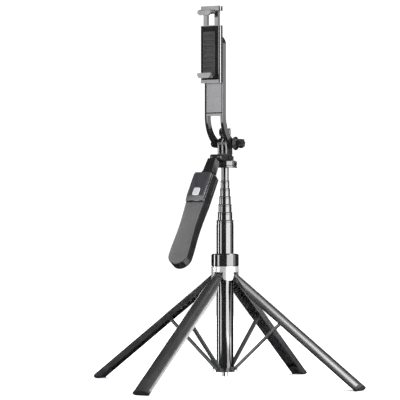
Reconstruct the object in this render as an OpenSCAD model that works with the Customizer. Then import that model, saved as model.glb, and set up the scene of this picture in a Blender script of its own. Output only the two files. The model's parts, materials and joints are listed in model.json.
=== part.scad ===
// Telescopic selfie stick that opens into a four-legged table stand.
// Origin: on the mast axis, on the surface under the feet. +Z up.
// +X: along the head hinge. -Y: the side of the phone and of the handle.
// The legs point along +X, +Y, -X and -Y.

/* [Column] */
// Outer radius of the fixed tube
tube_r = 11.2; // [10.8:0.1:11.4]
// Wall of the fixed tube
tube_wall = 0.7; // [0.6:0.1:0.8]
// Height of the fixed tube's lower end
tube_bottom_z = 21.6; // [21:0.1:22]
// Height of the fixed tube's mouth
tube_top_z = 214.5; // [212:0.5:218]

/* [Leg collar] */
// Outer radius of the collar's two rings
collar_r = 17.9; // [17.5:0.1:18.2]
// Height of the yoke's lower edge
yoke_z = 136; // [135.5:0.1:136.5]
// Height where the bright yoke meets the black cap
cap_z = 154.3; // [153:0.1:156]
// Height of the cap's top
cap_top_z = 171; // [169:0.5:174]
// Height of the leg hinge pins
leg_pivot_z = 141; // [140.8:0.1:141.4]
// Distance of the leg hinge pins from the mast axis
leg_pivot_r = 14; // [13.9:0.1:14.2]

/* [Legs] */
// Length from the leg hinge pin to the floor contact
leg_len = 236.5; // [230:0.5:238]
// Outer radius of the folded bundle of legs
leg_r = 18.5; // [18.3:0.1:18.8]
// Wall of the leg shells
leg_wall = 1.3; // [1.1:0.1:1.5]
// Distance along the leg from its hinge to the strut pin
strut_pin_at = 92; // [90:0.5:92]
// Distance of the strut seats in the hub from the mast axis
hub_r = 13.4; // [13.3:0.1:13.6]
// Height of the strut seats in the hub
hub_z = 20; // [19.5:0.1:20.5]

/* [Mast stages] */
// Step between one mouth and the next with the mast closed
stage_step = 10.3; // [9:0.1:11]
// Wall of the sliding tubes
stage_wall = 0.5; // [0.4:0.05:0.5]
// Height of the head cup's lower face
cup_z = 282.3; // [280:0.1:285]

/* [Head] */
// Height of the head hinge axis
hinge_z = 314.3; // [313:0.1:316]
// Radius of the hinge bolt
hinge_bolt_r = 2.5; // [2.4:0.1:2.5]
// Radius of the camera screw, quarter-inch thread as a plain pin
camera_screw_r = 3.175; // [3.17:0.005:3.18]

/* [Phone arm] */
// Width of the arm plate
arm_w = 27.3; // [26.5:0.1:28]
// Thickness of the arm plate
arm_t = 8; // [7.5:0.1:8.2]
// Height of the clamp swivel above the head hinge
swivel_u = 127.4; // [125:0.1:129]

/* [Phone clamp] */
// Gap between the jaws, which fits a large phone's width
jaw_gap = 77.6; // [70:0.1:80]
// Height of the lower jaw's gripping face
jaw_low_z = 402.9; // [402:0.1:404]
// Width of the clamp body
clamp_w = 27; // [26:0.1:27.3]

/* [Handle] */
// Angle of the handle forward from the mast
handle_lean = 33; // [32:0.1:35]
// Length of the handle from its hinge pin to its end
handle_len = 168.6; // [166:0.2:172]
// Width of the handle at the remote
handle_w = 27.4; // [26.4:0.2:28]

/* [Hidden] */
$fn = 96;

// A cut reaches this far past the face it opens
over = 1;
// Radial clearance of a shaft that turns or slides in a bore
run_gap = 0.05;
// Gap between two pieces that pass each other
pass_gap = 0.3;

// Azimuths of the four legs
front_az = -90;
right_az = 0;
back_az = 90;
left_az = 180;
AZIMUTHS = [front_az, right_az, back_az, left_az];

// Collar
bush_r = tube_r + 1.1;
notch_w = 13;
tongue_w = 12.4;
notch_top_z = leg_pivot_z + 5.6;
leg_pin_r = 1;
leg_pin_len = 16;

// Legs, drawn folded: hinge pin at the origin, the leg hangs along -Z, outward is +X
open_angle = acos(leg_pivot_z / leg_len);
leg_half = 44.4;
leg_in_r = 12;
shoulder_at = 7;
full_width_at = 36;
knuckle_r = 2.5;
// Ends of the shell and of the rubber cap, both cut square, and top of the plug inside the shell
shell_end_at = leg_len - 9;
foot_end_at = leg_len - 4.8;
plug_top_at = leg_len - 22;
heel_x = -9.5;
heel_half = 3.4;
shell_x = leg_r - leg_wall - leg_pivot_r;
pin_open_r = leg_pivot_r + strut_pin_at * sin(open_angle);
pin_open_z = leg_pivot_z - strut_pin_at * cos(open_angle);
strut_rise = pin_open_z - hub_z;
strut_reach = pin_open_r - hub_r;
strut_len = sqrt(strut_rise * strut_rise + strut_reach * strut_reach);
strut_angle = atan2(strut_reach, strut_rise);
strut_w = 5;
strut_t = 3.2;
strut_eye_r = 1.9;
strut_pin_r = 1;
trunnion_r = 1.2;
trunnion_half = 4.2;
seat_r = 1.9;
seat_shift = 0.35;

// Mast stages: the outer radii of the tubes from the second to the last
STAGE_R = [9.7, 8.7, 7.7, 6.7, 5.8, 4.95];
stage_count = len(STAGE_R);
stage_bottom_z = 34;
stage_bottom_step = 8;
cup_insert = 8;
lip_h = 3;
bush_h = 12;
function bore_r(k) = k == 0 ? tube_r - tube_wall : STAGE_R[k - 1] - stage_wall;
function mouth_z(k) = k == stage_count ? cup_z + cup_insert : tube_top_z + k * stage_step;
function foot_z(k) = stage_bottom_z + (k - 1) * stage_bottom_step;

// Head
cup_h = 9.7;
cup_r = 15.7;
cup_rim_r = 16.2;
base_z = cup_z + cup_h;
fin_r = 7.5;
fin_t = 3;
fin_pitch = 6;
fin_gap = 0.15;
fin_root_z = 301;
knuckle_y = -22;
knuckle_z = 296;
knuckle_pin_r = 1.5;
knuckle_ear_in = 3.2;
knuckle_ear_out = 7.4;
knob_x = 15.3;
thumb_z = 324.3;
thumb_h = 10;
screw_top_z = 341;
screw_shank_r = camera_screw_r - 0.175;
shank_z = hinge_z + fin_r + pass_gap;

// Phone arm, drawn with the hinge axis at the origin
arm_y = -20;
lug_in = 9.5;
lug_out = 15;
lug_r = 5.5;
// The two arcs of a fork leg, which grows thicker towards the hinge
arc_z = 34.6;
arc_out_y = 13.5;
arc_out_r = 41.5;
arc_in_y = 12;
arc_in_r = 32;
tip_y = 8;
tip_z = -1.84;
tip_r = 4.7;
plate_bottom_z = arc_z + 0.5;
swivel_z = hinge_z + swivel_u;

// Phone clamp
clamp_y = arm_y - arm_t - pass_gap;
clamp_t = 10;
clamp_front_y = clamp_y - clamp_t;
clamp_bottom_z = jaw_low_z - 11.5;
housing_top_z = 466;
jaw_high_z = jaw_low_z + jaw_gap;
jaw_top_z = jaw_high_z + 10.5;
low_pad_t = 2.5;
high_pad_t = 1.5;
pad_arm_half = 9;
pad_arm_t = 3;
pad_half = 8.8;
prong_bottom_z = 440;
spring_top_z = prong_bottom_z + 8.5;
lip_half = 10;
lip_y = -53;
lip_t = 3;
prong_in = 5.6;
prong_out = 11;
rail_x = 8.3;
rail_r = 1.5;
rail_y = clamp_y - 5;
cavity_back_y = clamp_y - 2;
cavity_front_y = clamp_front_y + 2;
groove_front_y = clamp_front_y + 3.6;
groove_back_y = clamp_y - 3.6;
rail_bottom_z = jaw_low_z - 5;

// Coil spring between the clamp body and the jaw
spring_z0 = jaw_low_z - 1.6;
spring_z1 = spring_top_z - 0.9;
spring_turns = 13;
spring_r = 1.75;
spring_wire = 0.3;
spring_sides = 6;
spring_steps = spring_turns * 14;

// Handle, drawn hanging parallel to the mast with its hinge pin at the origin
handle_face_y = -13;
handle_end_y = -10;
neck_face_y = -8.8;
handle_split_y = -1;
handle_back_y = 2.8;
neck_top_w = 12;
neck_w = 14.4;
neck_start = 7;
neck_end = 29.5;
pad_start = 34.2;
pad_end = 77.2;
grip_waist_w = 24.8;
grip_end_w = 28.4;
SCREWS_AT = [46, 146];
remote_gap = 0.3;
remote_face_y = -17;
remote_low_y = -13.9;
remote_slope_at = 70.5;
remote_back_y = -2.4;
remote_wall = 1.5;
remote_chamfer = 1.8;
button_at = 64.3;
button_w = 9.4;
button_h = 11.5;

// Places a leg's or strut's own frame at one azimuth
module at_azimuth(az) {
    rotate([0, 0, az]) children();
}

// Leg frame: hinge pin at the origin, opened to the standing angle
module in_leg(az) {
    at_azimuth(az) translate([leg_pivot_r, 0, leg_pivot_z]) rotate([0, -open_angle, 0]) children();
}

// A 2D outline in Y and Z, extruded along X from x0 to x1
module along_x(x0, x1) {
    translate([x0, 0, 0]) rotate([90, 0, 90]) linear_extrude(x1 - x0) children();
}

// A 2D outline in X and Z, extruded along Y from y0 down to y1
module along_y(y0, y1) {
    translate([0, y0, 0]) rotate([90, 0, 0]) linear_extrude(y0 - y1) children();
}

// A rod along X, centred
module rod_x(r, len, x = 0) {
    translate([x - len / 2, 0, 0]) rotate([0, 90, 0]) cylinder(h = len, r = r);
}

// A rod along Y, centred
module rod_y(r, len) {
    translate([0, len / 2, 0]) rotate([90, 0, 0]) cylinder(h = len, r = r);
}

// A box with its two corners given
module box(a, b) {
    translate(a) cube(b - a);
}

// A rectangle with rounded corners, centred
module round_rect(w, h, r) {
    square([w - 2 * r, h], center = true);
    square([w, h - 2 * r], center = true);
    for (sx = [-1, 1], sy = [-1, 1])
        translate([sx * (w / 2 - r), sy * (h / 2 - r)]) circle(r = r, $fn = 32);
}

// A ring, tube or sleeve standing on z0
module ring(r_out, r_in, z0, z1) {
    difference() {
        translate([0, 0, z0]) cylinder(h = z1 - z0, r = r_out);
        translate([0, 0, z0 - over]) cylinder(h = z1 - z0 + 2 * over, r = r_in);
    }
}

// Column -------------------------------------------------------------

module center_tube() {
    color("#26272a") ring(tube_r, bore_r(0), tube_bottom_z, tube_top_z);
}

module tube_mouth_ring() {
    color("#101010") ring(bore_r(0), STAGE_R[0] + run_gap, tube_top_z - 6, tube_top_z);
}

// One pair of ears that seats a strut's trunnions in downward-open slots
module hub_ears() {
    for (side = [-1, 1]) difference() {
        along_y(side * 3.7 + 0.8, side * 3.7 - 0.8) difference() {
            polygon([
                [8, 16.2], [16.5, 16.2], [16.5, 21.8], [15.5, 23], [11.6, 23], [11.6, 21.4], [8, 21.4]
            ]);
            translate([hub_r + seat_shift, hub_z]) circle(r = seat_r);
            translate([hub_r + seat_shift - seat_r, hub_z - 6]) square([2 * seat_r, 6]);
        }
    }
}

module bottom_hub() {
    color("#151515") difference() {
        union() {
            translate([0, 0, 16.2]) cylinder(h = tube_bottom_z - 16.2, r = tube_r - 0.1);
            translate([0, 0, tube_bottom_z]) cylinder(h = 3.4, r = bore_r(0));
            for (az = AZIMUTHS) at_azimuth(az) hub_ears();
        }
        translate([0, 0, 10]) cylinder(h = 20, r = 2.5);
    }
}

module hub_bolt() {
    color("#b9bcc0") difference() {
        union() {
            translate([0, 0, 10.2]) cylinder(h = 6, r = 3.95);
            translate([0, 0, 16]) cylinder(h = 8.6, r = 2.5);
        }
        translate([0, 0, 9]) cylinder(h = 4, r = 2.3, $fn = 6);
    }
}

// Collar -------------------------------------------------------------

module collar_cap() {
    color("#0c0c0d") rotate_extrude() polygon([
        [bush_r, cap_z], [collar_r, cap_z], [collar_r, cap_top_z - 1.2],
        [collar_r - 1.2, cap_top_z], [bush_r, cap_top_z]
    ]);
}

// The four notches that the leg tongues turn in
module yoke_notches(w, top_z) {
    for (az = AZIMUTHS) at_azimuth(az)
        box([0, -w / 2, yoke_z - over], [collar_r + over, w / 2, top_z]);
}

module leg_yoke() {
    color("#c9ccd0") difference() {
        ring(collar_r, bush_r, yoke_z, cap_z);
        yoke_notches(notch_w, notch_top_z);
        for (az = AZIMUTHS)
            at_azimuth(az) translate([leg_pivot_r, 0, leg_pivot_z]) rod_y(leg_pin_r, leg_pin_len);
    }
}

module leg_pins() {
    color("#8f9296") for (az = AZIMUTHS)
        at_azimuth(az) translate([leg_pivot_r, 0, leg_pivot_z]) rod_y(leg_pin_r, leg_pin_len);
}

module collar_bush() {
    color("#dcdcda") difference() {
        ring(bush_r, tube_r + run_gap, yoke_z + 1, cap_top_z - 0.6);
        yoke_notches(notch_w, notch_top_z + 1.4);
    }
}

// Legs ---------------------------------------------------------------

// A ring sector about the mast axis in the leg's folded frame
module leg_sector(r_in, r_out, half, z0, z1) {
    translate([-leg_pivot_r, 0, z0]) rotate([0, 0, -half])
        rotate_extrude(angle = 2 * half) translate([r_in, 0]) square([r_out - r_in, z1 - z0]);
}

// Front view outline of a leg: tongue, shoulders, full width, with an inset
module leg_outline(inset = 0) {
    half = leg_r * sin(leg_half) + over;
    t = tongue_w / 2 - inset;
    w = leg_r * sin(leg_half) - inset;
    polygon([
        [-t, 2.5], [t, 2.5], [t, -shoulder_at - 2], [w, -full_width_at], [half - inset, -full_width_at],
        [half - inset, -leg_len - 20], [-half + inset, -leg_len - 20], [-half + inset, -full_width_at],
        [-w, -full_width_at], [-t, -shoulder_at - 2]
    ]);
}

// Diamond lattice that stiffens the shell between the collar and the strut pin
module leg_lattice() {
    cells = 7;
    pitch = 9.4;
    line = 1.1;
    bar_len = 24;
    slope = 33;
    for (i = [0 : cells - 1], side = [-1, 1]) translate([shell_x - 1.6, 0, -18.4 - i * pitch])
        rotate([side * slope, 0, 0]) box([0, -bar_len / 2, -line / 2], [3.6, bar_len / 2, line / 2]);
}

// Walls that close the taper between the tongue and the full width
module taper_walls() {
    for (side = [-1, 1]) along_x(-12, 12) polygon([
        [side * 5, -shoulder_at], [side * 7, -shoulder_at], [side * 13.6, -full_width_at - 1],
        [side * 12, -full_width_at - 1], [side * 5, -shoulder_at - 2.5]
    ]);
}

// Cross-section of a leg at its full width: a quarter shell with two radial walls
module channel_section() {
    far = 2 * leg_r;
    translate([-leg_pivot_r, 0]) {
        intersection() {
            difference() {
                circle(r = leg_r);
                circle(r = leg_r - leg_wall);
            }
            polygon([
                [0, 0], [far * cos(leg_half), -far * sin(leg_half)], [far * cos(leg_half), far * sin(leg_half)]
            ]);
        }
        for (side = [-1, 1]) rotate(side * leg_half) translate([leg_in_r, side > 0 ? -leg_wall : 0])
            square([leg_r - 0.7 - leg_in_r, leg_wall]);
    }
}

module leg_shape() {
    inner_r = leg_r - 0.5;
    difference() {
        union() {
            translate([0, 0, -shell_end_at])
                linear_extrude(shell_end_at - full_width_at) channel_section();
            intersection() {
                leg_sector(leg_r - leg_wall, leg_r, leg_half, -full_width_at - 3, 2);
                along_x(-12, 12) leg_outline();
            }
            // Everything inside the shell stops short of its outer face
            intersection() {
                leg_sector(leg_pivot_r - knuckle_r - 0.2, inner_r, leg_half - 0.4, -shell_end_at + 1, 6);
                union() {
                    rod_y(knuckle_r, tongue_w);
                    box([-knuckle_r, -tongue_w / 2, -shoulder_at - 3], [shell_x + 2, tongue_w / 2, 0]);
                    box([0, -tongue_w / 2, -1], [shell_x + 2, tongue_w / 2, 1.9]);
                    taper_walls();
                    intersection() {
                        leg_lattice();
                        along_x(-12, 12) leg_outline(0.6);
                    }
                    // Lugs that carry the strut pin
                    for (side = [-1, 1]) translate([0, 0, -strut_pin_at])
                        box([-strut_eye_r, side * 4 - 1.1, -3], [shell_x + 2, side * 4 + 1.1, 3]);
                    // Two long stiffening lines below the strut pin
                    for (side = [-1, 1])
                        box([shell_x - 1.2, side * 6.2 - 0.5, -plug_top_at + 1],
                            [shell_x + 2, side * 6.2 + 0.5, -strut_pin_at - 6]);
                }
            }
        }
        rod_y(leg_pin_r + run_gap, 40);
        translate([0, 0, -strut_pin_at]) rod_y(strut_pin_r, 10.4);
    }
}

// Rubber end: a plug and a cap cut square, with a heel that stands flat on the floor
module foot_shape() {
    cap_z = -foot_end_at;
    difference() {
        union() {
            leg_sector(10.2, leg_r - leg_wall - 0.1, leg_half - 7.5, -shell_end_at - 2, -plug_top_at);
            leg_sector(10, leg_r + 0.2, leg_half, cap_z - 3, -shell_end_at);
            box([heel_x, -heel_half, cap_z - 8], [-1, heel_half, -shell_end_at - 1]);
        }
        // The floor, seen in the leg's frame
        translate([0, 0, -leg_len]) rotate([0, open_angle, 0]) box([-60, -40, -40], [60, 40, 0]);
        // Everything below the square end
        box([-3.4, -40, cap_z - 20], [20, 40, cap_z]);
        // Rounded toe
        translate([leg_r - leg_pivot_r - 1.4, -40, cap_z - 4]) rotate([0, 32, 0]) cube([10, 80, 12]);
        // Pockets that hollow the plug
        for (side = [-1, 1]) translate([-leg_pivot_r, 0, -shell_end_at + 1]) rotate([0, 0, side * 17])
            box([12.4, -2.8, 0], [15.6, 2.8, plug_top_at]);
    }
}

module strut_pin_shape() {
    translate([0, 0, -strut_pin_at]) rod_y(strut_pin_r, 10.4);
}

module leg(az) {
    color("#4c4d50") in_leg(az) leg_shape();
}

module foot(az) {
    color("#0e0e0e") in_leg(az) foot_shape();
}

module strut_pin(az) {
    color("#8f9296") in_leg(az) strut_pin_shape();
}

// A strut, from its trunnions in the hub to its eye on the leg
module strut(az) {
    color("#2a2b2d") at_azimuth(az) translate([hub_r, 0, hub_z]) rotate([0, strut_angle, 0]) difference() {
        union() {
            rod_y(strut_eye_r, strut_w);
            rod_y(trunnion_r, 2 * trunnion_half);
            translate([0, 0, strut_len]) rod_y(strut_eye_r, strut_w);
            box([-strut_t / 2, -strut_w / 2, 0], [strut_t / 2, strut_w / 2, strut_len]);
        }
        box([0.2, -strut_w / 2 + 1, 5], [strut_t, strut_w / 2 - 1, strut_len - 5]);
        translate([0, 0, strut_len]) rod_y(strut_pin_r + run_gap, strut_w + 2 * over);
    }
}

module leg_front() { leg(front_az); }
module leg_right() { leg(right_az); }
module leg_back() { leg(back_az); }
module leg_left() { leg(left_az); }
module foot_front() { foot(front_az); }
module foot_right() { foot(right_az); }
module foot_back() { foot(back_az); }
module foot_left() { foot(left_az); }
module strut_pin_front() { strut_pin(front_az); }
module strut_pin_right() { strut_pin(right_az); }
module strut_pin_back() { strut_pin(back_az); }
module strut_pin_left() { strut_pin(left_az); }
module strut_front() { strut(front_az); }
module strut_right() { strut(right_az); }
module strut_back() { strut(back_az); }
module strut_left() { strut(left_az); }

// Mast stages --------------------------------------------------------

// Sliding tube k (1 is the second tube of the mast), its mouth rolled in over the next one
module stage(k) {
    r_out = STAGE_R[k - 1];
    color("#26272a") {
        ring(r_out, bore_r(k), foot_z(k), mouth_z(k));
        if (k < stage_count) ring(bore_r(k) + 0.1, STAGE_R[k] + run_gap, mouth_z(k) - lip_h, mouth_z(k));
    }
}

// Friction sleeve at the bottom of sliding tube k
module slide_bush(k) {
    color("#dcdcda") ring(bore_r(k - 1) - run_gap, STAGE_R[k - 1], foot_z(k) + 0.5, foot_z(k) + bush_h);
}

module tube_stage_2() { stage(1); }
module tube_stage_3() { stage(2); }
module tube_stage_4() { stage(3); }
module tube_stage_5() { stage(4); }
module tube_stage_6() { stage(5); }
module tube_stage_7() { stage(6); }
module slide_bush_2() { slide_bush(1); }
module slide_bush_3() { slide_bush(2); }
module slide_bush_4() { slide_bush(3); }
module slide_bush_5() { slide_bush(4); }
module slide_bush_6() { slide_bush(5); }
module slide_bush_7() { slide_bush(6); }

// Head ---------------------------------------------------------------

module head_cup() {
    last_r = STAGE_R[stage_count - 1];
    color("#0a0a0b") rotate_extrude() polygon([
        [last_r + run_gap, cup_z], [cup_rim_r - 0.5, cup_z], [cup_rim_r, cup_z + 0.6],
        [cup_rim_r, cup_z + 2.2], [cup_rim_r - 0.8, cup_z + 2.6], [cup_rim_r - 0.8, cup_z + 3.2],
        [cup_r + 0.2, cup_z + 3.6], [cup_r, base_z - 0.8], [cup_r - 0.8, base_z],
        [0, base_z], [0, cup_z + cup_insert + 0.2], [last_r + run_gap, cup_z + cup_insert + 0.2]
    ]);
}

// Side view of the head's fins about the hinge axis
module fin_profile(root_z, half) {
    translate([0, hinge_z]) circle(r = fin_r);
    translate([-half, root_z]) square([2 * half, hinge_z - root_z]);
}

module head_base() {
    color("#121213") difference() {
        union() {
            box([-fin_r, -6, base_z], [fin_r, 6, fin_root_z]);
            box([-9, -5, base_z], [9, 7, base_z + 6]);
            for (i = [-1 : 1]) along_x(i * fin_pitch - fin_t / 2, i * fin_pitch + fin_t / 2)
                fin_profile(fin_root_z - over, 6.5);
            // Bracket and ears that carry the handle
            box([-knuckle_ear_out, knuckle_y + 5, base_z + 0.1], [knuckle_ear_out, 0, knuckle_z + 4]);
            for (x0 = [-knuckle_ear_out, knuckle_ear_in]) along_x(x0, x0 + knuckle_ear_out - knuckle_ear_in) {
                translate([knuckle_y, knuckle_z]) circle(r = 4);
                translate([knuckle_y, knuckle_z - 3.9]) square([6, 7.9]);
            }
        }
        translate([0, 0, hinge_z]) rod_x(hinge_bolt_r, 40);
        translate([0, knuckle_y, knuckle_z]) rod_x(knuckle_pin_r, 30);
    }
}

module hinge_bolt() {
    color("#9a9da1") translate([0, 0, hinge_z]) rod_x(hinge_bolt_r, 42, 3);
}

module hinge_nut() {
    color("#151516") difference() {
        translate([-knob_x, 0, hinge_z]) rotate([0, -90, 0]) rotate_extrude() polygon([
            [0, 0], [5.2, 0], [5.2, 2.4], [4.6, 3.8], [3.2, 4.7], [0, 5]
        ]);
        translate([0, 0, hinge_z]) rod_x(hinge_bolt_r, 42, 3);
    }
}

module knuckle_pin() {
    color("#9a9da1") translate([0, knuckle_y, knuckle_z]) rod_x(knuckle_pin_r, 15.2);
}

// Star knob with a flared skirt, threaded on the hinge bolt
module hinge_knob() {
    lobes = 7;
    head_at = 5.2;
    head_t = 7.7;
    color("#141415") translate([knob_x, 0, hinge_z]) rotate([0, 90, 0]) difference() {
        union() {
            rotate_extrude() polygon([
                [0, 0], [9, 0], [9, 1.2], [4.6, 4], [4.2, head_at + 0.6], [0, head_at + 0.6]
            ]);
            translate([0, 0, head_at]) cylinder(h = head_t, r = 5.5);
            for (i = [0 : lobes - 1]) rotate([0, 0, i * 360 / lobes])
                translate([4.6, 0, head_at + 0.4]) cylinder(h = head_t - 0.8, r = 1.75, $fn = 32);
        }
        translate([0, 0, -over]) cylinder(h = 10.4, r = hinge_bolt_r + run_gap);
    }
}

// Camera mount --------------------------------------------------------

module mount_body() {
    color("#1a1a1b") difference() {
        union() {
            for (side = [-1, 1]) translate([side * fin_pitch / 2, 0, 0])
                along_x(-fin_t / 2 + fin_gap, fin_t / 2 - fin_gap) {
                    translate([0, hinge_z]) circle(r = fin_r);
                    translate([-4.2, hinge_z]) square([8.4, thumb_z - pass_gap - hinge_z]);
                }
            translate([0, 0, shank_z]) cylinder(h = thumb_z + 3 - shank_z, r = 4.6);
        }
        translate([0, 0, hinge_z]) rod_x(hinge_bolt_r + run_gap, 40);
        translate([0, 0, shank_z - over]) cylinder(h = 20, r = screw_shank_r);
    }
}

module thumb_ring() {
    knurls = 20;
    color("#3a3b3e") difference() {
        union() {
            translate([0, 0, thumb_z]) cylinder(h = thumb_h, r = 7.5);
            for (i = [0 : knurls - 1]) rotate([0, 0, i * 360 / knurls])
                translate([7.3, 0, thumb_z + 1.4]) cylinder(h = thumb_h - 2.8, r = 0.7, $fn = 16);
        }
        translate([0, 0, thumb_z - over]) cylinder(h = thumb_h + 2 * over, r = screw_shank_r + run_gap);
        translate([0, 0, thumb_z - over]) cylinder(h = 4.4, r = 5);
    }
}

module camera_screw() {
    thread_z = thumb_z + thumb_h;
    color("#c9ccd0") rotate_extrude() polygon([
        [0, shank_z], [screw_shank_r, shank_z], [screw_shank_r, thread_z], [camera_screw_r, thread_z],
        [camera_screw_r, screw_top_z - 0.8], [camera_screw_r - 0.7, screw_top_z], [0, screw_top_z]
    ]);
}

// Phone arm ------------------------------------------------------------

// Side view of one fork leg, from its rounded tip past the hinge and up the arc to the plate
module fork_side() {
    centre_y = (arc_out_y + arc_in_y) / 2;
    reach = 1.35;
    circle(r = lug_r);
    translate([tip_y, tip_z]) circle(r = tip_r);
    intersection() {
        difference() {
            translate([arc_out_y, arc_z]) circle(r = arc_out_r, $fn = 128);
            translate([arc_in_y, arc_z]) circle(r = arc_in_r, $fn = 128);
        }
        polygon([
            [centre_y, arc_z], [-40, arc_z], [-40, arc_z + reach * (tip_z - arc_z)],
            [centre_y + reach * (tip_y - centre_y), arc_z + reach * (tip_z - arc_z)]
        ]);
    }
    translate([arm_y - arm_t, arc_z - 0.5]) square([arm_t, 2]);
}

module fork_arm() {
    rim_w = 2.4;
    color("#6c6d6f") translate([0, 0, hinge_z]) difference() {
        union() {
            for (x0 = [-arm_w / 2, lug_in]) along_x(x0, x0 + arm_w / 2 - lug_in) fork_side();
            for (side = [-1, 1]) rod_x(4.6, lug_out - lug_in, side * (lug_in + lug_out) / 2);
            along_y(arm_y, arm_y - arm_t) {
                translate([-arm_w / 2, plate_bottom_z]) square([arm_w, swivel_u - plate_bottom_z]);
                translate([0, swivel_u]) circle(r = arm_w / 2);
            }
        }
        rod_x(hinge_bolt_r + run_gap, 60);
        translate([0, arm_y, swivel_u]) rod_y(3, 40);
        // Shallow rim that frames the rear face
        along_y(arm_y + over, arm_y - 1.2) {
            translate([-arm_w / 2 + rim_w, plate_bottom_z + 3.5])
                square([arm_w - 2 * rim_w, swivel_u - plate_bottom_z - 3.5]);
            translate([0, swivel_u]) circle(r = arm_w / 2 - rim_w);
        }
    }
}

module swivel_rivet() {
    color("#9a9da1") translate([0, 0, swivel_z]) {
        translate([0, (arm_y + cavity_back_y) / 2 - 1, 0]) rod_y(3, arm_y - cavity_back_y - 0.4);
        translate([0, cavity_back_y - 0.85, 0]) rod_y(5, 1.1);
        translate([0, arm_y - 0.7, 0]) rod_y(5, 1);
    }
}

// Phone clamp ------------------------------------------------------------

// The lip at the end of a jaw, with its two lower corners cut off
module lip(low_z, high_z) {
    cut = 3;
    along_y(lip_y + lip_t, lip_y) polygon([
        [-lip_half, high_z], [lip_half, high_z], [lip_half, low_z + cut], [lip_half - cut, low_z],
        [-lip_half + cut, low_z], [-lip_half, low_z + cut]
    ]);
}

module clamp_body() {
    half = clamp_w / 2;
    arm_z = jaw_low_z - low_pad_t;
    bracket_z = arm_z - pad_arm_t;
    color("#57585a") difference() {
        union() {
            box([-half, clamp_front_y, clamp_bottom_z], [half, clamp_y, housing_top_z]);
            box([-pad_arm_half, lip_y + 1, bracket_z], [pad_arm_half, clamp_front_y + 1, arm_z]);
            lip(bracket_z - 0.2, jaw_low_z + 1);
        }
        // Cavity that the jaw's prongs slide in, open at the top
        box([-prong_out - 0.4, cavity_front_y, jaw_low_z], [prong_out + 0.4, cavity_back_y, housing_top_z + over]);
        // Swivel bore
        translate([0, clamp_y, swivel_z]) rod_y(3 + run_gap, 12);
        // Seats of the two rails
        for (side = [-1, 1]) translate([side * rail_x, rail_y, rail_bottom_z]) cylinder(h = 10, r = rail_r);
        // Spring anchor
        translate([0, rail_y - 0.6, jaw_low_z - 2]) cylinder(h = 4, r = 2.4);
        // Band set back above the bracket's face
        box([-half - over, clamp_front_y - over, clamp_bottom_z + 4.3],
            [half + over, clamp_front_y + 1, bracket_z]);
        // Groove along each side
        for (x0 = [-half - over, half - 1])
            box([x0, groove_front_y, clamp_bottom_z - over], [x0 + 1 + over, groove_back_y, housing_top_z + over]);
    }
}

module clamp_rails() {
    rail_len = housing_top_z - 2 - rail_bottom_z;
    color("#b9bcc0") for (side = [-1, 1])
        translate([side * rail_x, rail_y, rail_bottom_z]) cylinder(h = rail_len, r = rail_r);
}

// Coil spring that pulls the jaws together: one swept tube
function coil_point(i, j) =
    let (
        a = 360 * spring_turns * i / spring_steps,
        b = 360 * j / spring_sides,
        r = spring_r + spring_wire * cos(b)
    )
    [r * cos(a), r * sin(a), spring_wire * sin(b) + (spring_z1 - spring_z0) * i / spring_steps];

module clamp_spring() {
    last = spring_steps * spring_sides;
    points = [for (i = [0 : spring_steps], j = [0 : spring_sides - 1]) coil_point(i, j)];
    skin = [
        for (i = [0 : spring_steps - 1], j = [0 : spring_sides - 1], half = [0, 1])
            let (k = (j + 1) % spring_sides, a = i * spring_sides, b = a + spring_sides)
            half == 0 ? [a + j, b + j, b + k] : [a + j, b + k, a + k]
    ];
    start = [for (j = [0 : spring_sides - 1]) j];
    end = [for (j = [spring_sides - 1 : -1 : 0]) last + j];
    color("#b9bcc0") translate([0, rail_y - 0.6, spring_z0 + spring_wire])
        polyhedron(points = points, faces = concat(skin, [start], [end]));
}

// Rubber lining of the fixed jaw and of the clamp's front face, ribbed against slipping
module lower_pad() {
    rib_z = jaw_low_z + 5;
    color("#161616") {
        box([-pad_half, lip_y + lip_t, jaw_low_z - low_pad_t], [pad_half, clamp_front_y, jaw_low_z]);
        difference() {
            box([-pad_half, clamp_front_y - 2.4, jaw_low_z - 0.5], [pad_half, clamp_front_y, rib_z + 50]);
            for (i = [0 : 6])
                box([-7, clamp_front_y - 3, rib_z + i * 7], [7, clamp_front_y - 1.6, rib_z + 3 + i * 7]);
        }
    }
}

module upper_jaw() {
    half = clamp_w / 2;
    block_z = jaw_high_z + 4;
    color("#57585a") difference() {
        union() {
            box([-half, clamp_front_y, block_z], [half, clamp_y, jaw_top_z]);
            for (side = [-1, 1])
                box([side > 0 ? prong_in : -prong_out, cavity_front_y + 0.4, prong_bottom_z],
                    [side > 0 ? prong_out : -prong_in, cavity_back_y - 0.4, block_z + 1]);
            box([-prong_in - 0.5, cavity_front_y + 0.4, spring_top_z],
                [prong_in + 0.5, cavity_back_y - 1.9, spring_top_z + 3.5]);
            box([-pad_arm_half, lip_y + 1, jaw_high_z + high_pad_t],
                [pad_arm_half, clamp_front_y + 3, block_z + 0.5]);
            lip(jaw_high_z - 2.5, jaw_high_z + 3);
        }
        // Blind bores that ride on the rails
        for (side = [-1, 1]) translate([side * rail_x, rail_y, prong_bottom_z - over])
            cylinder(h = 44 + over, r = rail_r + run_gap);
        // Groove along each side
        for (x0 = [-half - over, half - 1])
            box([x0, groove_front_y, block_z - over], [x0 + 1 + over, groove_back_y, jaw_top_z + over]);
    }
}

module upper_pad() {
    groove_y = lip_y + lip_t + 2;
    color("#161616") difference() {
        box([-pad_half, lip_y + lip_t, jaw_high_z], [pad_half, clamp_front_y, jaw_high_z + high_pad_t]);
        for (i = [0 : 2])
            box([-7, groove_y + i * 3.4, jaw_high_z - over], [7, groove_y + 1.4 + i * 3.4, jaw_high_z + 0.6]);
    }
}

// Handle -------------------------------------------------------------------

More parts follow.
